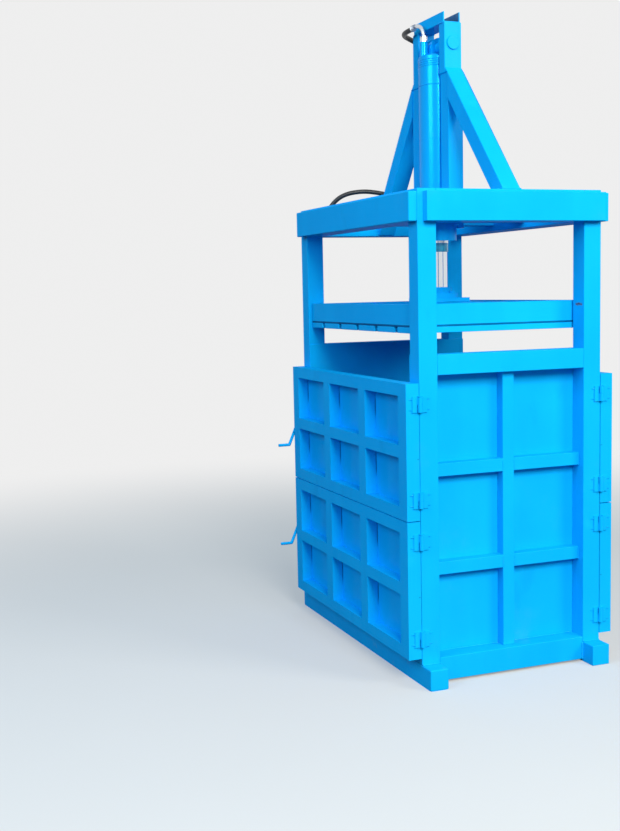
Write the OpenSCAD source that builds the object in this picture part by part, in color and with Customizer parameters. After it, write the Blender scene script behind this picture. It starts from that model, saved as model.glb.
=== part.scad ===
// Vertical recycling baler: a welded box frame that stands on two skids, with a
// hydraulic cylinder hung in an A-shaped mast and a pressing platen on its rod.
// X runs along the front doors, Y from front to back and Z up. The origin lies on
// the floor, under the middle of the frame. The platen is drawn a little way down.

/* [Frame] */
// Width of the frame over its corner posts
frame_w = 1260; // [1100:1:1500]
// Depth of the frame over its corner posts
frame_d = 828; // [700:1:1000]
// Height of the post tops above the floor
frame_h = 1952; // [1850:1:2150]
// Side of the square corner posts
post_s = 80; // [70:1:100]
// Wall of the square and rectangular tubes
tube_t = 5; // [3:0.5:8]
// Height of the skids that the posts stand on
skid_h = 84; // [60:1:110]
// Length of skid that stands out past the posts
skid_over = 73; // [40:1:120]
// Gap between the floor and the side rails of the base
base_clear = 10; // [4:1:30]
// Height of the top of the side rails of the base
base_top = 106; // [96:1:110]
// Height of the top rails between the posts
top_rail_h = 125; // [100:1:160]
// Height of the beams outside the top rails
outer_beam_h = 114; // [80:1:120]
// Thickness of the beams outside the top rails
outer_beam_t = 36; // [24:1:60]
// Height that the outer beams lie below the post tops
outer_beam_drop = 11; // [0:1:30]
// Distance from the frame's front to the front ends of the outer side beams
side_beam_inset = 24; // [0:1:60]
// Distance from the frame's left side to the left ends of the outer front and rear beams
front_beam_inset = 36; // [0:1:80]

/* [Side walls] */
// Height of the underside of the side sills
sill_z = 1235; // [1150:1:1300]
// Height of the side sills
sill_h = 80; // [60:1:100]
// Thickness of the wall sheets
sheet_t = 6; // [4:0.5:10]
// Width of the wall ribs
rib_w = 52; // [40:1:70]
// Depth of the wall ribs
rib_d = 46; // [30:1:60]
// Height of the underside of the lower wall rib
rib_low = 433; // [350:1:500]
// Height of the underside of the upper wall rib
rib_high = 830; // [700:1:900]

/* [Chamber floor] */
// Thickness of the floor plate
deck_t = 6; // [4:1:12]
// Height of the floor strips between the wire slots
strip_h = 24; // [15:1:40]
// Width of the wire slots
slot_w = 30; // [20:1:45]
// Distance between the wire slots
slot_pitch = 197; // [150:1:215]
// Number of wire slots
slot_n = 5; // [3:1:5]
// Height of the joists under the floor plate
joist_h = 60; // [40:1:80]
// Width of the joists under the floor plate
joist_w = 50; // [40:1:80]

/* [Doors] */
// Height of the underside of the lower doors
door_bottom = 112; // [110:1:130]
// Height of the parting between the lower and the upper doors
door_split = 666; // [600:1:720]
// Height of the top of the upper doors
door_top = 1207; // [1100:1:1230]
// Thickness of a door with its ribs
door_d = 56; // [46:1:70]
// Gap between a closed door and the posts
door_gap = 2; // [1:0.5:4]
// Gap between the lower and the upper doors
door_clear = 4; // [2:1:8]
// Width of the upright members at a door's two sides
door_stile = 72; // [60:1:90]
// Width of the upright members between a door's panels
door_mullion = 70; // [50:1:90]
// Height of the level members of a door
door_rail = 50; // [40:1:70]

/* [Hinges] */
// Radius of the hinge barrels
hinge_r = 9; // [7:0.5:12]
// Radius of the hinge pins
hinge_pin_r = 5; // [4:0.5:6]
// Length of a whole hinge
hinge_len = 62; // [50:1:100]
// Thickness of the hinge leaves
leaf_t = 5; // [4:0.5:8]
// Width of the hinge leaves
leaf_w = 30; // [22:1:40]
// Distance from a door's top or bottom edge to its hinges
hinge_edge = 50; // [20:1:80]

/* [Latches] */
// Distance from the latch pivot to its keeper
latch_reach = 70; // [65:1:80]
// Radius of the latch studs
latch_stud_r = 8; // [6:0.5:10]
// Thickness of the latch hook
latch_t = 8; // [6:1:12]
// Radius of the latch handle's bar
handle_r = 7; // [5:0.5:9]
// Turn of the latch from engaged to the released place where it is drawn
latch_open = 28; // [24:1:35]
// Height of the latch pivots on the upper doors
latch_upper_z = 940; // [850:1:1050]
// Height of the latch pivots on the lower doors
latch_lower_z = 451; // [350:1:550]

/* [Mast] */
// Side of the mast's square posts
mast_s = 70; // [60:1:80]
// Clear width between the mast posts
mast_gap = 200; // [185:1:240]
// Width of the mast heads along the frame
head_w = 50; // [40:1:60]
// Depth of the mast heads and braces
head_d = 80; // [72:1:90]
// Height of the mast heads above the frame
mast_h = 738; // [700:1:820]
// Distance from the top of the mast heads to where the left brace leaves them
bend_drop_left = 205; // [170:1:260]
// Distance from the top of the mast heads to where the right brace leaves them
bend_drop_right = 186; // [170:1:260]
// Thickness of the braces
brace_t = 70; // [50:1:80]
// Distance from the left rail's inner side to where the left brace meets the frame's top
left_foot_inset = 9; // [5:1:50]
// Width of the two beams under the mast
mast_beam_w = 80; // [70:1:100]
// Height of the two beams under the mast
mast_beam_h = 100; // [80:1:120]
// Height of the channel across the mast heads
channel_h = 45; // [35:1:60]
// Wall of the channel across the mast heads
channel_t = 6; // [4:1:9]
// Length of mast head left bare beside the channel
channel_inset = 10; // [0:1:20]

/* [Cylinder] */
// Outer radius of the cylinder
barrel_r = 80; // [75:1:86]
// Bore radius of the cylinder
bore_r = 70; // [60:1:72]
// Distance from the top of the mast heads to the clevis pin
pin_drop = 84; // [60:1:100]
// Distance from the clevis pin to the top of the cap
cap_drop = 30; // [27:1:34]
// Length of the cap, from its top to the weld on the barrel
cap_len = 127; // [90:1:160]
// Radius of the clevis pin
pin_r = 25; // [18:1:30]
// Thickness of the cylinder's eye
eye_t = 62; // [50:1:80]
// Radius of the cylinder's eye
eye_r = 44; // [38:1:48]
// Radius of the port stubs
port_r = 17; // [12:1:18]
// Height of the upper port stub
port_h = 58; // [40:1:70]

/* [Ram] */
// Radius of the piston rod
rod_r = 37.5; // [30:0.5:45]
// Length of the piston
piston_h = 62; // [50:1:80]
// Stroke of the ram
stroke = 650; // [500:1:652]
// Distance that the ram is drawn below its top
ram_down = 140; // [0:1:300]
// Distance from the cylinder's lower end to the platen's top with the ram drawn in
platen_drop = 128; // [122:1:160]
// Gap between the platen and the wall sheets
platen_side_gap = 6; // [4:1:25]
// Gap between the platen's front and rear and those of the posts
platen_end_gap = 14; // [8:1:40]
// Height of the platen's beams
platen_h = 82; // [60:1:100]
// Width of the platen's beams
platen_beam_w = 60; // [40:1:80]
// Thickness of the platen's pressing plate
platen_t = 8; // [6:1:15]
// Side of the square plate under the rod's flange
foot_s = 200; // [180:1:240]
// Thickness of the square plate under the rod's flange
foot_t = 18; // [12:1:25]
// Radius of the rod's flange
flange_r = 84; // [78:1:90]
// Thickness of the rod's flange
flange_t = 22; // [15:1:30]
// Radius of the circle that the flange bolts lie on
bolt_circle = 70; // [68:1:76]
// Number of bolts in the rod's flange
flange_bolts = 6; // [4:1:8]

/* [Hidden] */
$fn = 96;
fit = 0.05;
seat = 0.3;

// Frame
in_x = frame_w / 2 - post_s;
in_y = frame_d / 2 - post_s;
out_x = frame_w / 2;
out_y = frame_d / 2;
rail_z = frame_h - top_rail_h;
beam_top = frame_h - outer_beam_drop;
beam_x = out_x + outer_beam_t;
wall_x = in_x - sheet_t;
deck_z = base_top;
floor_z = deck_z + deck_t + strip_h;

// Doors, hinges and latches
door_out = out_y + door_gap + door_d;
hinge_clear = 0.5;
leaf_clear = 2;
hinge_x = out_x + hinge_r + hinge_clear;
hinge_y = out_y + door_gap / 2;
latch_y = out_y + door_gap + door_d / 2;
latch_gap = 4;
latch_eye_r = latch_stud_r + 11;
slot_play = 4;
hook_t = 14;
neck_in = 4;
stud_head = 4;
stud_collar = 4;
stud_rim = 5;
bar_sink = 2;
handle_drop = 116;
handle_lean = 50;
handle_len = norm([handle_lean, handle_drop]);
handle_turn = atan2(handle_lean, handle_drop);
grip_len = 55;
tail_w = 20;
tail_l = 62;

// Mast
mast_in = mast_gap / 2;
mast_out = mast_in + mast_s;
head_out = mast_in + head_w;
mast_top = frame_h + mast_h;
left_foot = in_x - left_foot_inset;
channel_z = mast_top + channel_t;

// Cylinder, from the pin that it hangs on down to the gland
pin_z = mast_top - pin_drop;
cap_top = pin_z - cap_drop;
cap_z = cap_top - cap_len;
cap_t = 20;
cap_edge = 6;
head_room = 2;
foot_room = 4;
gland_len = 60;
piston_top_z = cap_top - cap_t - head_room - piston_h;
bore_z = piston_top_z - stroke - foot_room;
barrel_z = bore_z - gland_len;
gland_ring_t = 5;
gland_r = rod_r + gland_ring_t;
ring_h = 9;
collar_h = 48;
collar_r = gland_r - 1;
port_bore = port_r - 8;
port_y = -barrel_r + port_r + 1;
port_out = barrel_r + 24;
lower_port_z = bore_z + port_r;
lower_port_top = lower_port_z + 40;
lower_port_depth = 48;
port_drill = 6;
stub_top = cap_top + port_h;

// Ram and platen, at the drawn place
piston_z = piston_top_z - ram_down;
spigot_r = rod_r - 12;
platen_top = barrel_z - platen_drop - ram_down;
platen_w = 2 * (wall_x - platen_side_gap);
platen_d = 2 * (out_y - platen_end_gap);
flange_z = platen_top + foot_t;
boss_z = flange_z + flange_t;
boss_h = 25;
boss_r = rod_r + 19;
rod_z = flange_z + 2;
breather_r = 5;
breather_y = 200;
bolt_r = 6;
bolt_head_r = 12;
bolt_head_h = 8;

// Colours
enamel = [0.06, 0.66, 0.9];
enamel_dark = [0.05, 0.55, 0.82];
steel = [0.72, 0.73, 0.75];
bright = [0.86, 0.87, 0.9];
black = [0.08, 0.08, 0.09];

// Points of the hose's centre line, from the elbow's ferrule to the coupling
hose_r = 11;
ferrule_t = 2;
hose_sides = 10;
hose_route = [
    [-83, -77, 2705], [-121, -83, 2701], [-160, -78, 2699], [-194, -58, 2697],
    [-216, -26, 2692], [-223, 12, 2678], [-220, 46, 2648], [-216, 68, 2605],
    [-212, 81, 2555], [-209, 89, 2499], [-208, 93, 2441], [-210, 94, 2384],
    [-214, 93, 2328], [-222, 91, 2270], [-234, 88, 2212], [-250, 85, 2158],
    [-273, 81, 2106], [-304, 77, 2061], [-344, 73, 2030], [-390, 69, 2013],
    [-438, 65, 2007], [-482, 59, 2008], [-522, 48, 2014], [-556, 28, 2024],
    [-580, -2, 2034], [-596, -42, 2042], [-608, -84, 2046], [-621, -124, 2044],
    [-636, -162, 2037], [-652, -196, 2022], [-668, -224, 1997], [-680, -244, 1966],
    [-686, -254, 1932]
];
coupling_at = [-beam_x - 20, -254, beam_top - 9];

// A block between two opposite corners
module block(a, b) {
    translate(a) cube(b - a);
}

// A rectangular tube between two opposite corners, open at both ends along one axis
module tube(a, b, along) {
    wall = [along == 0 ? 0 : tube_t, along == 1 ? 0 : tube_t, along == 2 ? 0 : tube_t];
    past = [along == 0 ? 1 : 0, along == 1 ? 1 : 0, along == 2 ? 1 : 0];
    difference() {
        block(a, b);
        block(a + wall - past, b - wall + past);
    }
}

// The two sides of the frame, mirrored about its middle
module to_side(side) {
    mirror([side < 0 ? 1 : 0, 0, 0]) children();
}

// The front and the rear of the frame, mirrored about its middle
module to_rear(rear) {
    mirror([0, rear ? 1 : 0, 0]) children();
}

// An upturned trough with end plates that carries two posts
module skid(rear) {
    color(enamel_dark) to_rear(rear) difference() {
        block([-out_x - skid_over, -out_y, 0], [out_x + skid_over, -in_y, skid_h]);
        block([-out_x - skid_over + tube_t, -out_y + tube_t, -1],
              [out_x + skid_over - tube_t, -in_y - tube_t, skid_h - tube_t]);
    }
}

module base_rail(side) {
    color(enamel) to_side(side)
        tube([in_x, -in_y, base_clear], [out_x, in_y, base_top], 1);
}

// Three joists between the base rails and a flat bar on each skid, all under the floor plate
module floor_beams() {
    color(enamel_dark) {
        for (y = [-1, 0, 1]) translate([0, y * (in_y - joist_w), 0])
            tube([-in_x, -joist_w / 2, deck_z - joist_h], [in_x, joist_w / 2, deck_z], 0);
        for (rear = [false, true]) to_rear(rear)
            block([-in_x, -out_y, skid_h], [in_x, -in_y, deck_z]);
    }
}

module floor_plate() {
    color(enamel_dark)
        block([-wall_x, -out_y, deck_z], [wall_x, out_y, deck_z + deck_t]);
}

// Strips with equal slots between them, out to a half width on either side
module slotted(half_w, half_d, z0, z1) {
    for (i = [0 : slot_n]) {
        left = i == 0 ? -half_w : (i - 1 - (slot_n - 1) / 2) * slot_pitch + slot_w / 2;
        right = i == slot_n ? half_w : (i - (slot_n - 1) / 2) * slot_pitch - slot_w / 2;
        block([left, -half_d, z0], [right, half_d, z1]);
    }
}

module floor_strips() {
    color(enamel_dark) slotted(wall_x, out_y, deck_z + deck_t, floor_z);
}

// A corner post: a square tube that is capped at its top
module post(side, rear) {
    color(enamel) to_side(side) to_rear(rear) difference() {
        block([in_x, -out_y, skid_h], [out_x, -in_y, frame_h]);
        block([in_x + tube_t, -out_y + tube_t, skid_h - 1],
              [out_x - tube_t, -in_y - tube_t, frame_h - tube_t]);
    }
}

module top_rail_long(rear) {
    color(enamel) to_rear(rear) tube([-in_x, -out_y, rail_z], [in_x, -in_y, frame_h], 0);
}

module top_rail_short(side) {
    color(enamel) to_side(side) tube([in_x, -in_y, rail_z], [out_x, in_y, frame_h], 1);
}

// A trough-shaped beam whose open back lies on the posts
module outer_beam_long(rear) {
    x0 = -out_x + front_beam_inset;
    z0 = beam_top - outer_beam_h;
    color(enamel) to_rear(rear) difference() {
        block([x0, -out_y - outer_beam_t, z0], [out_x, -out_y, beam_top]);
        block([x0 + tube_t, -out_y - outer_beam_t + tube_t, z0 + tube_t],
              [out_x - tube_t, -out_y + 1, beam_top - tube_t]);
    }
}

module outer_beam_short(side) {
    y0 = -out_y + side_beam_inset;
    z0 = beam_top - outer_beam_h;
    color(enamel) to_side(side) difference() {
        block([out_x, y0, z0], [out_x + outer_beam_t, out_y, beam_top]);
        block([out_x - 1, y0 + tube_t, z0 + tube_t],
              [out_x + outer_beam_t - tube_t, out_y - tube_t, beam_top - tube_t]);
    }
}

module sill(side) {
    color(enamel) to_side(side) tube([in_x, -in_y, sill_z], [out_x, in_y, sill_z + sill_h], 1);
}

module wall_sheet(side) {
    color(enamel) to_side(side)
        block([wall_x, -out_y, deck_z], [in_x, out_y, sill_z + sill_h]);
}

// Two level ribs and an upright one, welded to the outside of the wall sheet
module wall_ribs(side) {
    color(enamel) to_side(side) {
        for (z = [rib_low, rib_high])
            block([in_x, -in_y, z], [in_x + rib_d, in_y, z + rib_w]);
        block([in_x, -rib_w / 2, base_top], [in_x + rib_d, rib_w / 2, sill_z]);
    }
}

module mast_beams() {
    x = mast_in + mast_s / 2;
    color(enamel) for (s = [-1, 1])
        tube([s * x - mast_beam_w / 2, -in_y, frame_h - mast_beam_h],
             [s * x + mast_beam_w / 2, in_y, frame_h], 1);
}

// A brace's upper end, its foot's distance from the middle, and the lines of its two faces
function bend(side) = mast_top - (side < 0 ? bend_drop_left : bend_drop_right);
function brace_foot(side) = side < 0 ? left_foot : out_x;
function brace_rise(side) = bend(side) - frame_h;
function brace_run(side) = brace_foot(side) - head_out;
function brace_upright(side, t) = t * norm([brace_rise(side), brace_run(side)]) / brace_run(side);
function brace_line(side, x) = bend(side) - (x - head_out) * brace_rise(side) / brace_run(side);
function brace_at(side, z) = head_out + (bend(side) - z) * brace_run(side) / brace_rise(side);

// A mast post: a square tube with a narrower, deeper head that takes the clevis pin
module mast_post(side) {
    top = brace_line(side, mast_out);
    color(enamel) to_side(side) difference() {
        union() {
            block([mast_in, -mast_s / 2, frame_h], [mast_out, mast_s / 2, top]);
            block([mast_in, -head_d / 2, top], [head_out, head_d / 2, mast_top]);
        }
        block([mast_in + tube_t, -mast_s / 2 + tube_t, frame_h - 1],
              [mast_out - tube_t, mast_s / 2 - tube_t, top - tube_t]);
        block([mast_in + tube_t, -head_d / 2 + tube_t, top + tube_t],
              [head_out - tube_t, head_d / 2 - tube_t, mast_top - tube_t]);
        translate([mast_in - 1, 0, pin_z]) rotate([0, 90, 0]) cylinder(r = pin_r + fit, h = head_w + 2);
    }
}

// Outline of a brace, pared down by a wall; a foot short of the rail ends on the rail's side
function brace_outline(side, wall) =
    let (far = side < 0 ? in_x : brace_foot(side),
         low = side < 0 ? rail_z + tube_t : frame_h,
         out_dz = -brace_upright(side, wall),
         in_dz = -brace_upright(side, brace_t - wall),
         past = wall > 0 ? 1 : 0)
    side < 0
        ? [[far + past, brace_line(side, far + past) + out_dz], [far + past, low + wall],
           [brace_at(side, low + wall - in_dz), low + wall],
           [mast_out + wall, brace_line(side, mast_out + wall) + in_dz],
           [mast_out + wall, brace_line(side, mast_out + wall) + out_dz]]
        : [[brace_at(side, low - past - out_dz), low - past],
           [brace_at(side, low - past - in_dz), low - past],
           [mast_out + wall, brace_line(side, mast_out + wall) + in_dz],
           [mast_out + wall, brace_line(side, mast_out + wall) + out_dz]];

module brace(side) {
    top = brace_line(side, mast_out);
    color(enamel) to_side(side) difference() {
        union() {
            rotate([90, 0, 0]) linear_extrude(height = head_d, center = true)
                polygon(brace_outline(side, 0));
            rotate([90, 0, 0]) linear_extrude(height = head_d, center = true)
                polygon([[head_out, top], [mast_out, top], [head_out, bend(side)]]);
        }
        rotate([90, 0, 0]) linear_extrude(height = head_d - 2 * tube_t, center = true)
            polygon(brace_outline(side, tube_t));
    }
}

// An upturned channel across the two mast heads
module head_channel() {
    x = head_out - channel_inset;
    color(enamel) difference() {
        block([-x, -head_d / 2, mast_top], [x, head_d / 2, mast_top + channel_h]);
        block([-x - 1, -head_d / 2 + channel_t, channel_z],
              [x + 1, head_d / 2 - channel_t, mast_top + channel_h + 1]);
    }
}

// The pin that carries the cylinder, with a flat head at either end
module clevis_pin() {
    color(enamel) translate([0, 0, pin_z]) rotate([0, 90, 0]) {
        cylinder(r = pin_r, h = 2 * head_out, center = true);
        for (s = [-1, 1]) translate([0, 0, s * (head_out + 4)])
            cylinder(r = pin_r + 4, h = 8, center = true);
    }
}

// The cylinder's tube. The lower port, at its rear, is a stub with a boss that opens
// upwards, where a fitting can get past the frame's rails
module barrel() {
    boss_low = lower_port_z - port_r - 3;
    color(enamel) difference() {
        union() {
            translate([0, 0, barrel_z]) cylinder(r = barrel_r, h = cap_z - barrel_z);
            translate([0, 0, lower_port_z]) rotate([-90, 0, 0]) cylinder(r = port_r, h = port_out);
            translate([0, port_out, boss_low]) cylinder(r = port_r + 3, h = lower_port_top - boss_low);
        }
        translate([0, 0, barrel_z - 1]) cylinder(r = bore_r, h = cap_z - barrel_z + 2);
        translate([0, 0, lower_port_z]) rotate([-90, 0, 0]) cylinder(r = port_drill, h = port_out);
        translate([0, port_out, lower_port_top - lower_port_depth])
            cylinder(r = port_bore, h = lower_port_depth + 1);
    }
}

// The closed end of the cylinder, with its eye and its upper port stub
module cap() {
    edge_z = cap_top - cap_edge;
    color(enamel) difference() {
        union() {
            translate([0, 0, cap_z]) cylinder(r = barrel_r, h = edge_z - cap_z);
            translate([0, 0, edge_z]) cylinder(r1 = barrel_r, r2 = barrel_r - cap_edge, h = cap_edge);
            translate([0, 0, pin_z]) rotate([0, 90, 0]) cylinder(r = eye_r, h = eye_t, center = true);
            block([-eye_t / 2, -eye_r, edge_z], [eye_t / 2, eye_r, pin_z]);
            translate([0, port_y, edge_z]) cylinder(r = port_r, h = stub_top - edge_z);
        }
        translate([0, 0, cap_z - 1]) cylinder(r = bore_r, h = cap_top - cap_t - cap_z + 1);
        translate([0, 0, pin_z]) rotate([0, 90, 0]) cylinder(r = pin_r + fit, h = eye_t + 2, center = true);
        translate([0, port_y, edge_z]) cylinder(r = port_bore, h = stub_top - edge_z + 1);
    }
}

// The guide that the rod slides in: a plug in the barrel, a ring and a wiper collar
module gland() {
    color(steel) difference() {
        union() {
            translate([0, 0, barrel_z]) cylinder(r = bore_r - fit, h = gland_len);
            translate([0, 0, barrel_z - ring_h]) cylinder(r = gland_r, h = ring_h);
            translate([0, 0, barrel_z - collar_h]) cylinder(r = collar_r, h = collar_h - ring_h);
        }
        translate([0, 0, barrel_z - collar_h - 1]) cylinder(r = rod_r + fit, h = gland_len + collar_h + 2);
    }
}

// A swept elbow with its nut on the cap's port and its crimped ferrule on the hose
module elbow() {
    turn = 190;
    pipe_r = 8;
    nut_h = 24;
    bend_r = 52;
    bend = 100;
    ferrule_h = 24;
    color(bright) translate([0, port_y, stub_top]) rotate([0, 0, turn]) {
        cylinder(r = port_r - 1, h = nut_h, $fn = 6);
        translate([bend_r, 0, nut_h]) rotate([90, bend - 180, 0])
            rotate_extrude(angle = bend) translate([bend_r, 0]) circle(r = pipe_r);
        translate([bend_r * (1 - cos(bend)), 0, nut_h + bend_r * sin(bend)])
            rotate([0, bend, 0]) cylinder(r = hose_r + ferrule_t, h = ferrule_h);
    }
}

// Unit tangents along a route and ring normals carried along it without a twist
function unit(v) = v / norm(v);
function tangent(p, i) = unit(p[min(i + 1, len(p) - 1)] - p[max(i - 1, 0)]);
function carried(p, i, n) =
    let (t = tangent(p, i), u = unit(n - (n * t) * t))
    i == len(p) - 1 ? [u] : concat([u], carried(p, i + 1, u));

// A tube of even thickness along a route of points
module swept_tube(p, r, sides) {
    ns = carried(p, 0, [0, 0, 1]);
    rings = [for (i = [0 : len(p) - 1]) for (k = [0 : sides - 1])
        p[i] + r * (cos(360 * k / sides) * ns[i] + sin(360 * k / sides) * cross(tangent(p, i), ns[i]))];
    walls = [for (i = [0 : len(p) - 2]) for (k = [0 : sides - 1])
        let (a = i * sides + k, b = i * sides + (k + 1) % sides)
        for (face = [[a, b + sides, b], [a, a + sides, b + sides]]) face];
    start = [for (k = [0 : sides - 1]) k];
    end = [for (k = [sides - 1 : -1 : 0]) (len(p) - 1) * sides + k];
    polyhedron(points = rings, faces = concat(walls, [start], [end]));
}

module hose() {
    color(black) swept_tube(hose_route, hose_r, hose_sides);
}

// The hose's lower ferrule, held by nuts on a shelf that is welded to the left outer beam
module coupling() {
    ferrule_h = 46;
    shelf_t = 6;
    nut_h = 12;
    nut_r = 15;
    nipple_r = 9;
    half_w = 25;
    color(bright) translate(coupling_at) {
        translate([0, 0, -ferrule_h]) cylinder(r = hose_r + ferrule_t, h = ferrule_h);
        translate([0, 0, -ferrule_h - shelf_t - nut_h]) cylinder(r = nut_r, h = nut_h, $fn = 6);
        translate([0, 0, -ferrule_h - shelf_t - 2 * nut_h]) cylinder(r = nipple_r, h = 2 * nut_h);
        block([-nut_r - 1, -half_w, -ferrule_h - shelf_t], [-beam_x - coupling_at[0], half_w, -ferrule_h]);
    }
}

// Heights of the hinges and latches of one door, by whether it is an upper one
function door_low(upper) = upper ? door_split + door_clear / 2 : door_bottom;
function door_high(upper) = upper ? door_top : door_split - door_clear / 2;
function hinge_low(upper) = door_low(upper) + hinge_edge + hinge_len / 2;
function hinge_high(upper) = door_high(upper) - hinge_edge - hinge_len / 2;
function latch_z(upper) = upper ? latch_upper_z : latch_lower_z;

// A hinge's leaf on the post, with the lower knuckle and the pin that the door hangs on
module hinge_half(z) {
    translate([hinge_x, -hinge_y, z - hinge_len / 2]) {
        cylinder(r = hinge_r, h = (hinge_len - seat) / 2);
        cylinder(r = hinge_pin_r, h = hinge_len - hinge_pin_r);
    }
    block([out_x, -hinge_y, z - hinge_len / 2], [out_x + leaf_t, -out_y + leaf_w, z - seat / 2]);
    block([out_x, -hinge_y + hinge_r + leaf_clear, z - seat / 2],
          [out_x + leaf_t, -out_y + leaf_w, z + hinge_len / 2]);
}

module hinge_halves() {
    color(enamel) for (rear = [false, true]) to_rear(rear)
        for (upper = [false, true]) for (z = [hinge_low(upper), hinge_high(upper)]) hinge_half(z);
}

// The studs on the left posts that the latch hooks catch
module keepers() {
    color(steel) for (rear = [false, true]) to_rear(rear) for (upper = [false, true])
        translate([-out_x, -latch_y + latch_reach, latch_z(upper)]) rotate([0, -90, 0])
            cylinder(r = latch_stud_r, h = latch_gap + latch_t + stud_head);
}

// A hinge's leaf on the door, with the upper knuckle
module door_knuckle(z) {
    top = z + hinge_len / 2;
    low = z + seat / 2;
    difference() {
        union() {
            translate([hinge_x, -hinge_y, low]) cylinder(r = hinge_r, h = top - low);
            block([out_x, -out_y - door_gap - leaf_w, low], [out_x + leaf_t, -hinge_y, top]);
            block([out_x, -out_y - door_gap - leaf_w, z - hinge_len / 2],
                  [out_x + leaf_t, -hinge_y - hinge_r - leaf_clear, low]);
        }
        translate([hinge_x, -hinge_y, low - 1]) cylinder(r = hinge_pin_r + fit, h = hinge_len);
    }
}

// The stud that a latch swings on, with a collar under the latch and a head over it
module latch_stud() {
    head_z = latch_gap + latch_t + seat;
    rotate([0, -90, 0]) {
        cylinder(r = latch_stud_r + stud_collar, h = latch_gap - seat);
        cylinder(r = latch_stud_r, h = head_z + stud_head);
        translate([0, 0, head_z]) cylinder(r = latch_stud_r + stud_rim, h = stud_head);
    }
}

// A door: a skin stiffened by a grid of members, with its hinge halves and its latch stud
module door(rear, upper) {
    low = door_low(upper);
    high = door_high(upper);
    pane_w = (frame_w - 2 * door_stile - 2 * door_mullion) / 3;
    pane_h = (high - low - 3 * door_rail) / 2;
    color(enamel) to_rear(rear) {
        difference() {
            block([-out_x, -door_out, low], [out_x, -out_y - door_gap, high]);
            for (i = [0 : 2]) for (j = [0 : 1])
                translate([-out_x + door_stile + i * (pane_w + door_mullion), -door_out - 1,
                           low + door_rail + j * (pane_h + door_rail)])
                    cube([pane_w, door_d - sheet_t + 1, pane_h]);
        }
        for (z = [hinge_low(upper), hinge_high(upper)]) door_knuckle(z);
        translate([-out_x, -latch_y, latch_z(upper)]) latch_stud();
    }
}

// Outline of the latch as it stands when engaged, with the pivot at the origin
module latch_outline() {
    slot_r = latch_stud_r + slot_play;
    free_r = 2 * latch_reach * sin(latch_open / 2) - latch_stud_r - 1;
    end_r = min(latch_stud_r + hook_t, free_r);
    neck = 2 * (end_r - neck_in);
    difference() {
        union() {
            circle(r = latch_eye_r);
            translate([0, -neck / 2]) square([latch_reach, neck]);
            translate([latch_reach, 0]) circle(r = end_r);
            rotate(latch_open - handle_turn) translate([-tail_w / 2, -tail_l]) square([tail_w, tail_l]);
        }
        circle(r = latch_stud_r + fit);
        translate([latch_reach, 0]) circle(r = slot_r);
        intersection() {
            difference() {
                circle(r = latch_reach + slot_r);
                circle(r = latch_reach - slot_r);
            }
            square(2 * latch_reach);
        }
    }
}

// A latch: a hook that swings on the door's stud and a bent bar to lift it by
module latch(rear, upper) {
    start = latch_eye_r + 1;
    bar_x = -latch_t - handle_r + bar_sink;
    color(enamel) to_rear(rear) translate([-out_x - latch_gap, -latch_y, latch_z(upper)]) {
        translate([-latch_t, 0, 0]) rotate([90, 0, 90]) linear_extrude(height = latch_t)
            rotate(-latch_open) latch_outline();
        rotate([-handle_turn, 0, 0]) translate([bar_x, 0, -handle_len])
            cylinder(r = handle_r, h = handle_len - start);
        translate([bar_x, -handle_lean, -handle_drop]) {
            sphere(r = handle_r);
            rotate([90, 0, 0]) cylinder(r = handle_r, h = grip_len);
        }
    }
}

module piston_rod() {
    color(steel) {
        translate([0, 0, rod_z]) cylinder(r = rod_r, h = piston_z - rod_z);
        translate([0, 0, piston_z]) cylinder(r = spigot_r, h = piston_h);
    }
}

// The piston, with the grooves of its two seals
module piston() {
    groove = piston_h / 5;
    groove_d = 5;
    color(steel) translate([0, 0, piston_z]) difference() {
        cylinder(r = bore_r - fit, h = piston_h);
        translate([0, 0, -1]) cylinder(r = spigot_r + fit, h = piston_h + 2);
        for (i = [1, 3]) translate([0, 0, i * groove]) difference() {
            cylinder(r = bore_r + 1, h = groove);
            translate([0, 0, -1]) cylinder(r = bore_r - groove_d, h = groove + 2);
        }
    }
}

// Copies on the flange's bolt circle
module at_bolts() {
    for (i = [0 : flange_bolts - 1])
        rotate([0, 0, (i + 0.5) * 360 / flange_bolts]) translate([bolt_circle, 0, 0]) children();
}

// The rod's foot: a flange with a boss that the rod stands in
module rod_flange() {
    color(enamel) difference() {
        union() {
            translate([0, 0, flange_z]) cylinder(r = flange_r, h = flange_t);
            translate([0, 0, boss_z]) cylinder(r = boss_r, h = boss_h);
        }
        translate([0, 0, rod_z]) cylinder(r = rod_r + fit, h = flange_t + boss_h);
        at_bolts() translate([0, 0, flange_z - 1]) cylinder(r = bolt_r + fit, h = flange_t + 2);
    }
}

module flange_bolts() {
    color(steel) at_bolts() {
        translate([0, 0, platen_top]) cylinder(r = bolt_r, h = foot_t + flange_t);
        translate([0, 0, boss_z]) cylinder(r = bolt_head_r, h = bolt_head_h, $fn = 6);
    }
}

// The side beams of the platen: tubes with closed ends and a breather hole on the inside
module platen_side_beams() {
    x = platen_w / 2;
    low = [x - platen_beam_w, -platen_d / 2, platen_top - platen_h];
    high = [x, platen_d / 2, platen_top];
    wall = [tube_t, tube_t, tube_t];
    color(enamel) for (s = [-1, 1]) to_side(s) difference() {
        block(low, high);
        block(low + wall, high - wall);
        translate([low[0] - 1, breather_y, platen_top - platen_h / 2]) rotate([0, 90, 0])
            cylinder(r = breather_r, h = tube_t + 2);
    }
}

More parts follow.
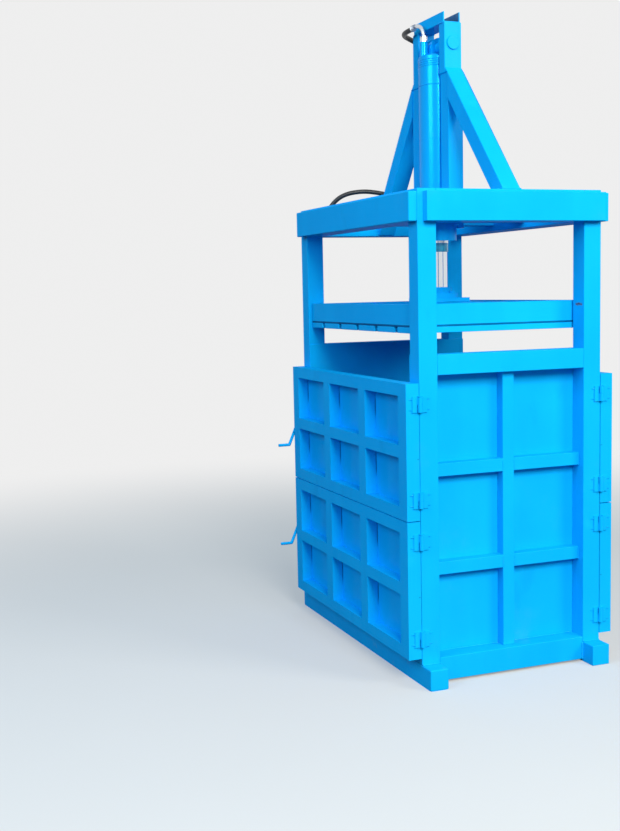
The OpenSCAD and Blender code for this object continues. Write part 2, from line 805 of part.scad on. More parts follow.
// Beams across the platen: one at the front, one at the rear and two under the plate
// that the rod's flange is bolted to
module platen_cross_beams() {
    x = platen_w / 2 - platen_beam_w;
    half = platen_beam_w / 2;
    outer = platen_d / 2 - half;
    inner = foot_s / 2 - half;
    color(enamel) {
        for (y = [-outer, -inner, inner, outer]) translate([0, y, 0])
            tube([-x, -half, platen_top - platen_h], [x, half, platen_top], 0);
        difference() {
            block([-foot_s / 2, -foot_s / 2, platen_top], [foot_s / 2, foot_s / 2, flange_z]);
            at_bolts() translate([0, 0, platen_top - 1]) cylinder(r = bolt_r + fit, h = foot_t + 2);
        }
    }
}

module platen_plate() {
    top = platen_top - platen_h;
    color(enamel) block([-platen_w / 2, -platen_d / 2, top - platen_t], [platen_w / 2, platen_d / 2, top]);
}

module platen_strips() {
    top = platen_top - platen_h - platen_t;
    color(enamel) slotted(platen_w / 2, platen_d / 2, top - strip_h, top);
}

skid(false);  // skid_front
skid(true);  // skid_rear
base_rail(-1);  // base_rail_left
base_rail(1);  // base_rail_right
floor_beams();
floor_plate();
floor_strips();
post(-1, false);  // post_front_left
post(1, false);  // post_front_right
post(-1, true);  // post_rear_left
post(1, true);  // post_rear_right
top_rail_long(false);  // top_rail_front
top_rail_long(true);  // top_rail_rear
top_rail_short(-1);  // top_rail_left
top_rail_short(1);  // top_rail_right
outer_beam_long(false);  // outer_beam_front
outer_beam_long(true);  // outer_beam_rear
outer_beam_short(-1);  // outer_beam_left
outer_beam_short(1);  // outer_beam_right
sill(-1);  // sill_left
sill(1);  // sill_right
wall_sheet(-1);  // wall_sheet_left
wall_sheet(1);  // wall_sheet_right
wall_ribs(-1);  // wall_ribs_left
wall_ribs(1);  // wall_ribs_right
mast_beams();
mast_post(-1);  // mast_post_left
mast_post(1);  // mast_post_right
brace(-1);  // brace_left
brace(1);  // brace_right
head_channel();
clevis_pin();
barrel();
cap();
gland();
elbow();
hose();
coupling();
hinge_halves();
keepers();
piston_rod();
piston();
rod_flange();
flange_bolts();
platen_side_beams();
platen_cross_beams();
platen_plate();
platen_strips();
door(false, true);  // door_front_upper
door(false, false);  // door_front_lower
door(true, true);  // door_rear_upper
door(true, false);  // door_rear_lower
latch(false, true);  // latch_front_upper
latch(false, false);  // latch_front_lower
latch(true, true);  // latch_rear_upper
latch(true, false);  // latch_rear_lower
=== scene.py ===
"""Looks of a vertical recycling baler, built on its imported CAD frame.
Metres, Z up, X along the front doors towards their hinges, Y from front to rear."""

import math

import bpy
from mathutils import Matrix, Vector


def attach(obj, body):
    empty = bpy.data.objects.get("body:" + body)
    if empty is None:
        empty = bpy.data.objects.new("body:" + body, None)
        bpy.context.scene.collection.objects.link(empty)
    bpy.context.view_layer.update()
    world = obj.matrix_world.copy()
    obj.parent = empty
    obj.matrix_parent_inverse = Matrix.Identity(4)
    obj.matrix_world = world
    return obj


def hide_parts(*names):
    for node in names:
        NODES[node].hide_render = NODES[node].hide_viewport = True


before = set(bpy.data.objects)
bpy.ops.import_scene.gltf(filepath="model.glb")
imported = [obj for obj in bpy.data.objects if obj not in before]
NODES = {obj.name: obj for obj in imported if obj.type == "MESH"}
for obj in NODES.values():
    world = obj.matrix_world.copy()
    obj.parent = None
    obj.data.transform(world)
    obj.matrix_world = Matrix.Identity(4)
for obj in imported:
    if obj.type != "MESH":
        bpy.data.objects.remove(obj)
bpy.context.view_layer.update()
bpy.ops.object.select_all(action="DESELECT")

# ---- camera -----------------------------------------------------------------
CAMERA_AT = (4.644, -2.393, 1.577)
CAMERA_AZIMUTH = 69.194
CAMERA_ELEVATION = 6.209
CAMERA_ROLL = -1.259
LENS = 50.13
SENSOR_WIDTH = 36


def add_camera():
    """The camera that took the photograph, with its slight roll."""
    az, el, roll = (math.radians(a) for a in (CAMERA_AZIMUTH, CAMERA_ELEVATION, CAMERA_ROLL))
    back = Vector((math.sin(az) * math.cos(el), -math.cos(az) * math.cos(el), math.sin(el)))
    right = (-back).cross(Vector((0, 0, 1))).normalized()
    up = right.cross(-back)
    right_r = math.cos(roll) * right + math.sin(roll) * up
    up_r = -math.sin(roll) * right + math.cos(roll) * up
    data = bpy.data.cameras.new("camera")
    data.lens = LENS
    data.sensor_width = SENSOR_WIDTH
    data.clip_end = 100
    camera = bpy.data.objects.new("camera", data)
    turn = Matrix((right_r, up_r, back)).transposed().to_4x4()
    camera.matrix_world = Matrix.Translation(Vector(CAMERA_AT)) @ turn
    bpy.context.collection.objects.link(camera)
    bpy.context.scene.camera = camera


# ---- shader maths -----------------------------------------------------------
class Value:
    """A number on a shader socket. The usual signs add Math nodes."""

    def __init__(self, paint, socket):
        self.paint = paint
        self.socket = socket

    def maths(self, operation, *others):
        return self.paint.node("ShaderNodeMath", {"operation": operation}, (self, *others))

    def __add__(self, other):
        return self.maths("ADD", other)

    def __sub__(self, other):
        return self.maths("SUBTRACT", other)

    def __rsub__(self, other):
        return self.paint.node("ShaderNodeMath", {"operation": "SUBTRACT"}, (other, self))

    def __mul__(self, other):
        return self.maths("MULTIPLY", other)

    __radd__ = __add__
    __rmul__ = __mul__

    def larger(self, other):
        return self.maths("MAXIMUM", other)

    def smaller(self, other):
        return self.maths("MINIMUM", other)

    def size(self):
        return self.maths("ABSOLUTE")

    def step(self, low, high):
        """0 below low and 1 above high, with a soft rise between."""
        return self.paint.node("ShaderNodeMapRange", {"interpolation_type": "SMOOTHSTEP"},
                               {"Value": self, "From Min": low, "From Max": high})


class Paint:
    """A material, and the nodes that make it."""

    def __init__(self, name):
        self.material = bpy.data.materials.new(name)
        self.material.use_nodes = True
        self.tree = self.material.node_tree
        self.shader = self.tree.nodes["Principled BSDF"]
        self.place = self.node("ShaderNodeTexCoord", out="Object")

    def node(self, kind, settings=None, values=None, out=0):
        """A new node with its settings and inputs, and the Value on one of its outputs."""
        made = self.tree.nodes.new(kind)
        for key, setting in (settings or {}).items():
            setattr(made, key, setting)
        pairs = values.items() if isinstance(values, dict) else enumerate(values or ())
        for key, value in pairs:
            self.put(made.inputs[key], value)
        return Value(self, made.outputs[out])

    def put(self, socket, value):
        """Link a Value to a socket, or set the socket to a constant."""
        if isinstance(value, Value):
            self.tree.links.new(value.socket, socket)
        else:
            socket.default_value = value

    def mix(self, amount, first, second):
        """Colour from first to second as amount goes from 0 to 1."""
        made = self.tree.nodes.new("ShaderNodeMix")
        made.data_type = "RGBA"
        self.put(made.inputs[0], amount)
        self.put(made.inputs[6], first)
        self.put(made.inputs[7], second)
        return Value(self, made.outputs[2])

    def noise(self, scale, detail=3, rough=0.5, stretch=(1, 1, 1)):
        """Noise over the Object coordinates, drawn out along an axis where stretch is small."""
        place = self.node("ShaderNodeMapping", None, {"Vector": self.place, "Scale": stretch})
        return self.node("ShaderNodeTexNoise", None,
                         {"Vector": place, "Scale": scale, "Detail": detail, "Roughness": rough})

    def axes(self):
        """The three Object coordinates as numbers."""
        split = self.tree.nodes.new("ShaderNodeSeparateXYZ")
        self.put(split.inputs[0], self.place)
        return [Value(self, output) for output in split.outputs]

    def finish(self, **sockets):
        """Set the shader's sockets, and give the material."""
        names = {"colour": "Base Color", "rough": "Roughness", "metal": "Metallic", "coat": "Coat Weight",
                 "coat_rough": "Coat Roughness", "specular": "Specular IOR Level", "normal": "Normal"}
        for key, value in sockets.items():
            self.put(self.shader.inputs[names[key]], value)
        return self.material

    def bump(self, height, distance, strength):
        return self.node("ShaderNodeBump", None,
                         {"Height": height, "Distance": distance, "Strength": strength})


# ---- finishes ---------------------------------------------------------------
SKY_BLUE = (0.0045, 0.50, 0.96, 1)
SKY_BLUE_DEEP = (0.003, 0.44, 0.90, 1)
SKY_BLUE_PALE = (0.010, 0.55, 0.97, 1)
DUST = (0.34, 0.31, 0.27, 1)
BARREL_BLUES = ((0.001, 0.36, 0.84, 1), (0.001, 0.42, 0.90, 1), (0.004, 0.47, 0.93, 1))
# Much darker blues for the platen plate: painted shade under the platen.
PLATEN_SHADE_BLUES = ((0.001, 0.10, 0.26, 1), (0.001, 0.16, 0.38, 1), (0.004, 0.24, 0.50, 1))
STAIN = (0.001, 0.20, 0.52, 1)
# Dull, darker blue-greys for the channel's inner faces.
INSIDE_DULL_BLUE = (0.06, 0.17, 0.34, 1)
INSIDE_DULL_GREY = (0.12, 0.21, 0.32, 1)
COLLAR_DEEP = (0.004, 0.26, 0.42, 1)
COLLAR_PALE = (0.010, 0.42, 0.60, 1)
BARE_BROWN = (0.15, 0.10, 0.13, 1)
# Painted shade for creases: the channel's inner corner by the web and the corners of the door recesses.
CREASE_SHADE = (0.0, 0.06, 0.20, 1)
RUBBER = (0.012, 0.012, 0.013, 1)
RUBBER_DUSTY = (0.09, 0.085, 0.08, 1)
CHROME = (0.78, 0.84, 0.89, 1)
CHROME_OILY = (0.42, 0.44, 0.45, 1)
CHROME_DULL = (0.45, 0.52, 0.58, 1)
ZINC = (0.68, 0.72, 0.76, 1)
# Painted reflection: dark patches in the plated metal's colour.
ZINC_REFLECTION_DARK = (0.22, 0.26, 0.34, 1)
FLOOR_TONES = ((0.70, 0.67, 0.64, 1), (0.74, 0.71, 0.68, 1))

# Places on the object that a finish has to find, in metres.
RECESS_LEFT = (-0.558, -0.16267, 0.23267)
RECESS_LEVELS = ((0.162, 0.363), (0.413, 0.614), (0.718, 0.9125), (0.9625, 1.157))
RECESS_BACK = 0.422
CHANNEL_INSIDE = ((-0.2, -0.0347, 2.6953), (0.2, 0.0347, 2.80))
# The band by the channel's web that gets painted shade.
CHANNEL_CORNER_SHADE = (2.696, 2.712)
RUBBED_PATCH = ((0.568, 0.325, 1.486), (0.620, 0.345, 1.502))
COLLAR_TOP = (1.7682, 1.7692)


def inside(p, low, high, soft):
    """1 inside a box of the Object coordinates, falling to 0 outside it over a soft rim."""
    near = None
    for value, start, end in zip(p.axes(), low, high):
        depth = (value - start).smaller(end - value)
        near = depth if near is None else near.smaller(depth)
    return near.step(-soft, soft)


def enamel_paint(name, dust=0.0, coat=0.05, coat_rough=0.16, metal=0.0, rough=0.27, extra=None,
                 shades=(SKY_BLUE_DEEP, SKY_BLUE, SKY_BLUE_PALE)):
    """Brushed-on gloss enamel: uneven in shade, with faint brush lines, runs and orange peel."""
    p = Paint(name)
    height = p.axes()[2]
    cloud = p.noise(1.7, detail=4, rough=0.55)
    runs = p.noise(9, detail=3, stretch=(1, 1, 0.12))
    shade = cloud.step(0.35, 0.68) * 0.7 + runs.step(0.45, 0.75) * 0.3
    deep, full, pale = shades
    colour = p.mix(shade, deep, full)
    retinted = p.noise(5.5, detail=5, rough=0.62).step(0.62, 0.78) * 0.35
    colour = p.mix(retinted, colour, pale)
    rough = cloud * 0.16 + rough
    film = p.noise(3.2, detail=6, rough=0.7).step(0.56, 0.80)
    low = 1 - height.step(0.0, 0.16)
    soiled = film * (low * 0.35 + 0.03 + dust).smaller(0.9)
    colour = p.mix(soiled, colour, DUST)
    stain = p.noise(4.1, detail=5, rough=0.6, stretch=(1, 1, 0.55)).step(0.60, 0.72) * 0.16
    colour = p.mix(stain, colour, STAIN)
    rough = rough + soiled * 0.35
    peel = p.noise(210, detail=2) * 0.35 + p.noise(26, detail=3, stretch=(1, 1, 0.25))
    if extra:
        colour, rough = extra(p, colour, rough)
    return p.finish(colour=colour, rough=rough, metal=metal, specular=0.0, coat=coat,
                    coat_rough=coat_rough, normal=p.bump(peel, 0.0016, 0.35))


def channel_inside_shaded(p, colour, rough):
    """The channel's inner faces are painted dull, darker blue-greys, with painted shade darkest along the
    corner by the web.
    """
    retinted = inside(p, *CHANNEL_INSIDE, 0.0004)
    # Painted shade along the inner corner by the web.
    web_corner_shade = 1 - p.axes()[2].step(*CHANNEL_CORNER_SHADE)
    dull = p.mix(p.noise(38, detail=5).step(0.35, 0.7), INSIDE_DULL_BLUE, INSIDE_DULL_GREY)
    dull = p.mix(web_corner_shade * 0.6, dull, CREASE_SHADE)
    return p.mix(retinted, colour, dull), rough + retinted * 0.25


def rubbed_corner(p, colour, rough):
    """A small patch where the platen's strap has rubbed the post down to the steel."""
    patch = inside(p, *RUBBED_PATCH, 0.010)
    ragged = (patch + p.noise(70, detail=6, rough=0.7) * 1.2 - 1.1).step(0.0, 0.5)
    return p.mix(ragged, colour, BARE_BROWN), rough + ragged * 0.3


def line_at(value, places, half):
    """1 within half of any of the places, with a soft edge."""
    nearest = None
    for place in places:
        gap = (value - place).size()
        nearest = gap if nearest is None else nearest.smaller(gap)
    return 1 - nearest.step(half * 0.6, half * 1.4)


def door_recess_shade(p, colour, rough):
    """Painted shade in the doors' recesses: dark lines beside each left strip and under each upper one,
    where the walls meet the skin.
    """
    x, y, z = p.axes()
    on_skin = line_at(y.size(), (RECESS_BACK,), 0.004)
    upright = None
    for bottom, top in RECESS_LEVELS:
        part = (z - bottom - 0.3 * (top - bottom)).smaller(top - z).step(0, 0.05)
        upright = part if upright is None else upright.larger(part)
    broken = p.noise(21, detail=3, stretch=(1, 1, 0.35)).step(0.30, 0.48)
    side = line_at(x, [left + 0.0015 for left in RECESS_LEFT], 0.0028) * upright * broken
    over = line_at(z, [top - 0.001 for bottom, top in RECESS_LEVELS], 0.0026) * 0.7
    # Painted shade in the recess creases, in the upper part of each recess.
    dark = side.larger(over) * on_skin
    return p.mix(dark * 0.55, colour, CREASE_SHADE), rough + dark * 0.2


def chrome_finish():
    """Hard chrome with a thin oil film in upright streaks."""
    p = Paint("hard_chrome")
    streak = p.noise(60, detail=3, stretch=(1, 1, 0.03))
    film = p.noise(7, detail=4, stretch=(1, 1, 0.4)).step(0.45, 0.75)
    colour = p.mix(film * 0.35, CHROME, CHROME_OILY)
    return p.finish(colour=colour, metal=1.0, rough=film * 0.10 + streak * 0.06 + 0.07,
                    normal=p.bump(streak, 0.0004, 0.2))


def gland_finish():
    """The gland: a plated ring under the barrel, and a painted collar below it."""
    p = Paint("gland_metal")
    plated = p.axes()[2].step(*COLLAR_TOP)
    mottle = p.noise(30, detail=4)
    paint = p.mix(mottle.step(0.35, 0.7), COLLAR_DEEP, COLLAR_PALE)
    plate = p.mix(mottle.step(0.4, 0.7), CHROME, CHROME_DULL)
    return p.finish(colour=p.mix(plated, paint, plate), metal=plated * 0.8 + 0.2,
                    rough=mottle * 0.12 + 0.14, coat=0.3, coat_rough=0.1,
                    normal=p.bump(mottle, 0.0005, 0.3))


def zinc_finish():
    """Plated steel, with darker mottled places painted in as dark reflections."""
    p = Paint("zinc_plate")
    reflection_mottle = p.noise(35, detail=5, rough=0.6)
    # Painted reflection: dark mottled patches in the metal's colour.
    colour = p.mix(reflection_mottle.step(0.46, 0.60), ZINC, ZINC_REFLECTION_DARK)
    return p.finish(colour=colour, metal=1.0, rough=reflection_mottle * 0.2 + 0.24,
                    normal=p.bump(reflection_mottle, 0.0006, 0.3))


def rubber_cover():
    """Hose cover: black rubber with the wrap of its curing cloth, dusty where it lies."""
    p = Paint("hose_rubber")
    wrap = p.noise(420, detail=2)
    dust = p.noise(24, detail=5, rough=0.65).step(0.55, 0.8)
    colour = p.mix(dust * 0.35, RUBBER, RUBBER_DUSTY)
    return p.finish(colour=colour, rough=dust * 0.2 + 0.42, normal=p.bump(wrap, 0.0008, 0.4))


def seen_directly(tree):
    """1 for what the camera sees, also by reflection or through glass, and 0 for light on its way."""
    path = tree.nodes.new("ShaderNodeLightPath")
    level = path.outputs["Is Camera Ray"]
    for name in ("Is Glossy Ray", "Is Transmission Ray"):
        either = tree.nodes.new("ShaderNodeMath")
        either.operation = "MAXIMUM"
        tree.links.new(level, either.inputs[0])
        tree.links.new(path.outputs[name], either.inputs[1])
        level = either.outputs[0]
    return level


def floor_finish():
    """A plain pale floor that melts into the backdrop far from the object."""
    p = Paint("plain_floor")
    x, y, z = p.axes()
    pale = p.mix(p.noise(0.8), *FLOOR_TONES)
    colour = p.mix(Value(p, seen_directly(p.tree)), FLOOR_BOUNCE, pale)
    p.finish(colour=colour, rough=0.8, specular=0.0)
    glow = p.tree.nodes.new("ShaderNodeEmission")
    glow.inputs["Color"].default_value = BACKDROP
    both = p.tree.nodes.new("ShaderNodeMixShader")
    far = (x * x + y * y).maths("SQRT").step(*FLOOR_FADE)
    p.put(both.inputs[0], (far * 0.65 + 0.35) * Value(p, seen_directly(p.tree)))
    p.tree.links.new(p.shader.outputs[0], both.inputs[1])
    p.tree.links.new(glow.outputs[0], both.inputs[2])
    p.tree.links.new(both.outputs[0], p.tree.nodes["Material Output"].inputs[0])
    return p.material


ROOM_LIGHT = (0.48, 0.76, 1.0, 1)
ROOM_POWER = 0.41
BACKDROP = (0.86, 0.86, 0.86, 1)
FLOOR_FADE = (1.8, 6.0)
FLOOR_BOUNCE = (0.10, 0.10, 0.11, 1)

ENAMEL = enamel_paint("enamel")
ENAMEL_WORN = enamel_paint("enamel_worn", dust=0.18)
ENAMEL_GLOSS = enamel_paint("enamel_gloss", coat=0.10, coat_rough=0.12, metal=0.32, rough=0.15,
                            shades=BARREL_BLUES)
# The channel's inner faces are painted dull and darker, with painted shade along the corner by the web.
ENAMEL_CHANNEL_SHADED = enamel_paint("enamel_channel_shaded", extra=channel_inside_shaded)
# The doors' enamel carries painted shade in the creases of its recesses.
ENAMEL_DOOR_SHADED = enamel_paint("enamel_door_shaded", extra=door_recess_shade)
# Painted shade: the platen plate is painted much darker than the rest of the enamel.
ENAMEL_PLATEN_SHADE = enamel_paint("enamel_platen_shade", dust=0.1, shades=PLATEN_SHADE_BLUES)
ENAMEL_WELD = enamel_paint("enamel_weld", dust=0.05, coat=0.10)
ENAMEL_RUBBED = enamel_paint("enamel_rubbed", extra=rubbed_corner)
CHROME_FINISH = chrome_finish()
ZINC_FINISH = zinc_finish()
GLAND_FINISH = gland_finish()
RUBBER_COVER = rubber_cover()

FINISH_OF = {"skid_front": ENAMEL_WORN, "skid_rear": ENAMEL_WORN, "floor_beams": ENAMEL_WORN,
             "floor_plate": ENAMEL_WORN, "floor_strips": ENAMEL_WORN, "barrel": ENAMEL_GLOSS,
             "cap": ENAMEL_GLOSS, "head_channel": ENAMEL_CHANNEL_SHADED, "post_rear_right": ENAMEL_RUBBED,
             "door_front_upper": ENAMEL_DOOR_SHADED, "door_front_lower": ENAMEL_DOOR_SHADED,
             "door_rear_upper": ENAMEL_DOOR_SHADED, "door_rear_lower": ENAMEL_DOOR_SHADED, "platen_plate": ENAMEL_PLATEN_SHADE,
             "piston_rod": CHROME_FINISH, "gland": GLAND_FINISH, "elbow": ZINC_FINISH,
             "coupling": ZINC_FINISH, "keepers": ZINC_FINISH, "piston": ZINC_FINISH}
# Widths of the rolled edges, by the start of the node's name. The rest is square tube.
SOFT_EDGES = {"skid": 0.009, "head_channel": 0.0015, "platen": 0.002, "door": 0.002, "wall": 0.002,
              "hinge": 0.001, "latch": 0.001, "keepers": 0.0006, "flange": 0.0012, "gland": 0.0012,
              "elbow": 0.0008, "coupling": 0.0008, "piston": 0.0012, "clevis": 0.002,
              "barrel": 0.0015, "cap": 0.0025, "rod": 0.0015, "floor": 0.001}
TUBE_EDGE = 0.005
SAME_POINT = 0.00002
SAME_PLANE = math.radians(1)
ROLLED_CORNER = math.radians(40)
SHARP_CORNER = math.radians(50)


def edge_of(name):
    """The width of a node's rolled edges."""
    for start, width in SOFT_EDGES.items():
        if name.startswith(start):
            return width
    return TUBE_EDGE


def dress_node(name, node):
    """The finish of a CAD node, and the rolled edge that its steel has."""
    finish = FINISH_OF.get(name, ENAMEL)
    if not node.material_slots:
        node.data.materials.append(finish)
    for slot in node.material_slots:
        slot.material = finish
    weld = node.modifiers.new("weld", "WELD")
    weld.merge_threshold = SAME_POINT
    if not name.startswith("door"):
        flat = node.modifiers.new("flat", "DECIMATE")
        flat.decimate_type = "DISSOLVE"
        flat.angle_limit = SAME_PLANE
    rolled = node.modifiers.new("rolled", "BEVEL")
    rolled.width = edge_of(name)
    rolled.segments = 2
    rolled.limit_method = "ANGLE"
    rolled.angle_limit = ROLLED_CORNER
    rolled.miter_outer = "MITER_ARC"
    rolled.use_clamp_overlap = True
    crisp = node.modifiers.new("crisp", "EDGE_SPLIT")
    crisp.split_angle = SHARP_CORNER
    even = node.modifiers.new("even", "WEIGHTED_NORMAL")
    even.keep_sharp = False
    even.weight = 80


# ---- the hose ---------------------------------------------------------------
# From the elbow's ferrule to the coupling's, in millimetres.
HOSE_ROUTE = [
    (-83, -77, 2705), (-121, -83, 2701), (-160, -78, 2699), (-194, -58, 2697), (-216, -26, 2692),
    (-223, 12, 2678), (-220, 46, 2648), (-216, 68, 2605), (-212, 81, 2555), (-209, 89, 2499),
    (-208, 93, 2441), (-210, 94, 2384), (-214, 93, 2328), (-222, 91, 2270), (-234, 88, 2212),
    (-250, 85, 2158), (-273, 81, 2106), (-304, 77, 2061), (-344, 73, 2030), (-390, 69, 2013),
    (-438, 65, 2007), (-482, 59, 2008), (-522, 48, 2014), (-556, 28, 2024), (-580, -2, 2034),
    (-596, -42, 2042), (-608, -84, 2046), (-621, -124, 2044), (-636, -162, 2037),
    (-652, -196, 2022), (-668, -224, 1997), (-680, -244, 1966), (-686, -254, 1932)]
HOSE_DIAMETER = 0.022


def smooth_route(points, steps):
    """Points along a curve that passes through all the given ones."""
    route = [Vector(p) / 1000 for p in points]
    ends = [2 * route[0] - route[1]] + route + [2 * route[-1] - route[-2]]
    out = []
    for i in range(1, len(ends) - 2):
        a, b, c, d = ends[i - 1:i + 3]
        for k in range(steps):
            t = k / steps
            out.append(0.5 * (2 * b + (c - a) * t + (2 * a - 5 * b + 4 * c - d) * t ** 2
                              + (3 * b - a - 3 * c + d) * t ** 3))
    return out + [route[-1]]


def make_hose():
    """The pressure hose, a tube round its route."""
    path = smooth_route(HOSE_ROUTE, 4)
    line = bpy.data.curves.new("pressure_hose", "CURVE")
    line.dimensions = "3D"
    spline = line.splines.new("POLY")
    spline.points.add(len(path) - 1)
    for point, at in zip(spline.points, path):
        point.co = (*at, 1)
    line.bevel_depth = HOSE_DIAMETER / 2
    line.bevel_resolution = 5
    line.use_fill_caps = True
    hose = bpy.data.objects.new("pressure_hose", line)
    bpy.context.collection.objects.link(hose)
    hose.data.materials.append(RUBBER_COVER)
    length = sum((b - a).length for a, b in zip(path, path[1:]))
    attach(hose, "frame")
    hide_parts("hose")


# ---- welds and rings, in millimetres ----------------------------------------
HINGE_BOTTOMS = (162, 552, 718, 1095)
LEAF_ON_DOOR = (446, 457, 428)
LEAF_ON_POST = (384, 373, 404)
TICK_HEIGHTS = (10, 52)
DOORS_MEET = 666
RIPPLE_PITCH = 0.9
RIPPLE_SHAKE = 0.16
BARREL_R = 79.5
CAP_RINGS = (2556, 2547, 2538, 2529)
FERRULE_R = 12.7
CRIMPS = (5, 11, 17)


def take(piece, name, finish, body):
    """Name a finished piece, paint it and let it ride."""
    piece.name = name
    piece.data.name = name
    piece.data.materials.clear()
    piece.data.materials.append(finish)
    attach(piece, body)


def join(pieces):
    """Join pieces into the first, shaded smooth."""
    bpy.ops.object.select_all(action="DESELECT")
    for piece in pieces:
        piece.select_set(True)
    bpy.context.view_layer.objects.active = pieces[0]
    bpy.ops.object.join()
    bpy.ops.object.shade_smooth()
    whole = bpy.context.object
    bpy.ops.object.select_all(action="DESELECT")
    return whole


def roughen(amount, seed):
    """Shift the vertices of the piece in hand a little, as a hand-laid weld lies."""
    bpy.ops.object.mode_set(mode="EDIT")
    bpy.ops.mesh.select_all(action="SELECT")
    bpy.ops.transform.vertex_random(offset=amount, seed=seed)
    bpy.ops.object.mode_set(mode="OBJECT")


def weld_bead(start, end, radius):
    """A straight run of overlapping weld ripples between two points."""
    start, end = Vector(start) / 1000, Vector(end) / 1000
    run = end - start
    steps = max(2, round(run.length / (radius * RIPPLE_PITCH / 1000)))
    bpy.ops.mesh.primitive_ico_sphere_add(subdivisions=1, radius=radius / 1000)
    ripple = bpy.context.object
    rows = ripple.modifiers.new("rows", "ARRAY")
    rows.use_relative_offset = False
    rows.use_constant_offset = True
    rows.constant_offset_displace = (run.length / steps, 0, 0)
    rows.count = steps + 1
    bpy.ops.object.modifier_apply(modifier="rows")
    roughen(radius * RIPPLE_SHAKE / 1000, steps)
    turn = Vector((1, 0, 0)).rotation_difference(run).to_matrix().to_4x4()
    ripple.data.transform(Matrix.Translation(start) @ turn)
    return ripple


def ring(centre, axis, radius, thick, rough=0.0):
    """A thin ring round an axis through a centre."""
    bpy.ops.mesh.primitive_torus_add(major_segments=72, minor_segments=8, major_radius=radius / 1000,
                                     minor_radius=thick / 1000)
    hoop = bpy.context.object
    if rough:
        roughen(rough / 1000, round(radius))
    turn = Vector((0, 0, 1)).rotation_difference(Vector(axis)).to_matrix().to_4x4()
    hoop.data.transform(Matrix.Translation(Vector(centre) / 1000) @ turn)
    return hoop


def frame_weld_runs():
    """Where the frame is welded: (start, end, radius), the right half, then its mirror image."""
    runs = []
    for y in (-1, 1):
        runs += [((552.5, y * 29, 108), (552.5, y * 330, 108), 4.0),
                 ((633, y * 338, 86), (633, y * 410, 86), 3.5),
                 ((632.5, y * 331.5, 14), (632.5, y * 331.5, 80), 4.0),
                 ((104, y * 37, 1954), (166, y * 37, 1954), 3.0),
                 ((104, y * 42, 2690), (136, y * 42, 2690), 2.2)]
        for z in (433, 830):
            runs += [((554, y * 331.5, z + 48), (594, y * 331.5, z + 48), 3.0),
                     ((598, y * 331.5, z + 2), (598, y * 331.5, z + 44), 2.6),
                     ((554, y * 28, z + 48), (594, y * 28, z + 48), 2.6),
                     ((596.5, y * 26, z + 3), (596.5, y * 26, z + 43), 1.6)]
    runs += [((141.5, -37, 2692), (141.5, 37, 2692), 3.2),
             ((172.5, -33, 1954), (172.5, 33, 1954), 2.4)]
    runs += [((-a[0], a[1], a[2]), (-b[0], b[1], b[2]), r) for a, b, r in runs]
    for y in (-42, 42):
        runs += [((566, y, 1954), (626, y, 1954), 3.0), ((-548, y, 1836), (-548, y, 1946), 3.0)]
    return runs + [((172, -38, 2373), (172, 38, 2373), 3.4), ((-172, -38, 2338), (-172, 38, 2338), 3.4)]


def hinge_runs(leaf):
    """Two ticks beside each hinge leaf that hold it, and the run under it."""
    edge, far, near = leaf
    runs = []
    for y in (-1, 1):
        for low in HINGE_BOTTOMS:
            for tick in TICK_HEIGHTS:
                runs.append(((632, y * edge, low + tick), (632, y * far, low + tick), 2.0))
            runs.append(((633, y * edge, low - 0.5), (633, y * near, low - 0.5), 2.0))
    return runs


def door_of(run):
    """The body that a run on a hinge's door leaf moves with."""
    y, z = run[0][1], run[0][2]
    side = "front" if y < 0 else "rear"
    level = "upper" if z > DOORS_MEET else "lower"
    return side + "_" + level + "_door"


def make_welds():
    """The fillets of the frame and platen, and the ticks on the hinges."""
    runs = frame_weld_runs() + hinge_runs(LEAF_ON_POST)
    take(join([weld_bead(*run) for run in runs]), "frame_welds", ENAMEL_WELD, "frame")
    by_door = {}
    for run in hinge_runs(LEAF_ON_DOOR):
        by_door.setdefault(door_of(run), []).append(weld_bead(*run))
    for body, beads in by_door.items():
        take(join(beads), body + "_welds", ENAMEL_WELD, body)
    plate = [weld_bead((x * 102, -98, 1512), (x * 102, 98, 1512), 3.0) for x in (-1, 1)]
    take(join(plate), "platen_welds", ENAMEL_WELD, "ram")


def make_cylinder_rings():
    """The rolled rings round the cap, the weld under them and the fine ring lower down."""
    up = (0, 0, 1)
    hoops = [ring((0, 0, z), up, BARREL_R, 2.2) for z in CAP_RINGS]
    hoops.append(ring((0, 0, 2449), up, BARREL_R + 0.1, 2.6, rough=0.5))
    hoops.append(ring((0, 0, 2218), up, BARREL_R + 0.1, 1.2))
    take(join(hoops), "cylinder_rings", ENAMEL_GLOSS, "frame")


def make_crimps():
    """Crimped rings on the hose's two ferrules."""
    hoops = []
    for end, inward in ((HOSE_ROUTE[0], HOSE_ROUTE[1]), (HOSE_ROUTE[-1], HOSE_ROUTE[-2])):
        along = (Vector(end) - Vector(inward)).normalized()
        for gap in CRIMPS:
            hoops.append(ring(Vector(end) + gap * along, along, FERRULE_R, 1.3))
    take(join(hoops), "hose_crimps", ZINC_FINISH, "frame")


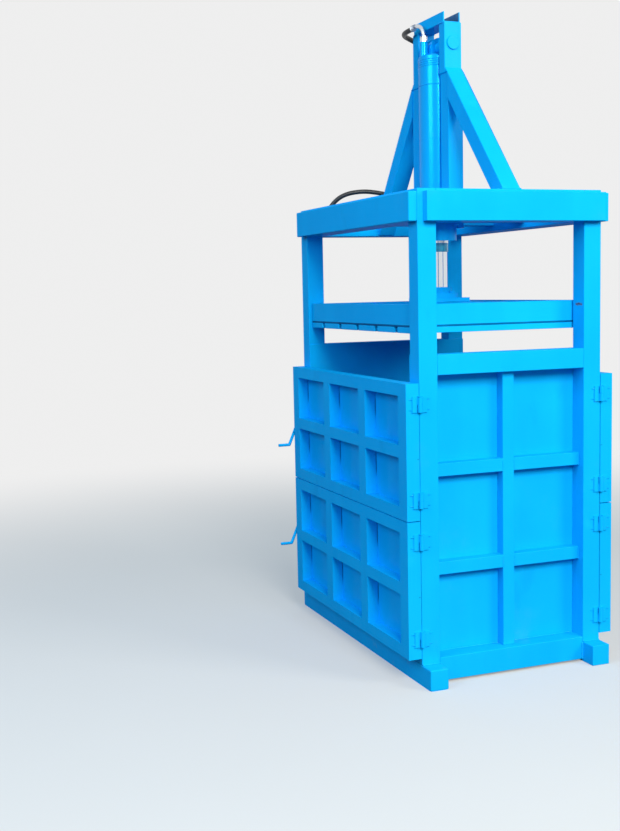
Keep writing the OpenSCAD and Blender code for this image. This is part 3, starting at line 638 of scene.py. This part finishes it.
# ---- stage ------------------------------------------------------------------
# Name, place, what it aims at, size, power and colour.
LAMPS = (("side_lamp", (8.2, -1.3, 5.4), (0, 0, 1.0), 3.5, 700, (1.0, 1.0, 0.94)),
         ("rear_lamp", (6.4, 4.6, 4.6), (0, 0, 1.2), 3.0, 260, (1.0, 1.0, 0.94)),
         ("door_lamp", (2.2, -6.0, 4.4), (0, 0, 1.1), 3.0, 205, (0.46, 0.72, 1.0)))
FLOOR_SIZE = 60


def add_floor():
    bpy.ops.mesh.primitive_plane_add(size=FLOOR_SIZE, location=(0, 0, 0))
    floor = bpy.context.object
    floor.name = "stage_floor"
    floor.data.materials.append(floor_finish())


def add_lamp(name, at, aim, size, power, colour):
    data = bpy.data.lights.new(name, "AREA")
    data.size = size
    data.energy = power
    data.color = colour
    lamp = bpy.data.objects.new(name, data)
    lamp.location = at
    lamp.rotation_euler = (Vector(aim) - Vector(at)).to_track_quat("-Z", "Y").to_euler()
    bpy.context.collection.objects.link(lamp)


def add_light():
    """An even bluish room with a white backdrop, and the lamps."""
    world = bpy.data.worlds.new("studio")
    bpy.context.scene.world = world
    world.use_nodes = True
    tree = world.node_tree
    room = tree.nodes["Background"]
    room.inputs["Color"].default_value = ROOM_LIGHT
    room.inputs["Strength"].default_value = ROOM_POWER
    seen = tree.nodes.new("ShaderNodeBackground")
    seen.inputs["Color"].default_value = BACKDROP
    blend = tree.nodes.new("ShaderNodeMixShader")
    tree.links.new(seen_directly(tree), blend.inputs[0])
    tree.links.new(room.outputs[0], blend.inputs[1])
    tree.links.new(seen.outputs[0], blend.inputs[2])
    tree.links.new(blend.outputs[0], tree.nodes["World Output"].inputs[0])
    for lamp in LAMPS:
        add_lamp(*lamp)


# ---- the whole --------------------------------------------------------------
add_camera()
add_floor()
add_light()
for node_name, node_object in NODES.items():
    if node_name != "hose":
        dress_node(node_name, node_object)
make_hose()
make_welds()
make_cylinder_rings()
make_crimps()

bpy.context.scene.view_settings.view_transform = "Standard"
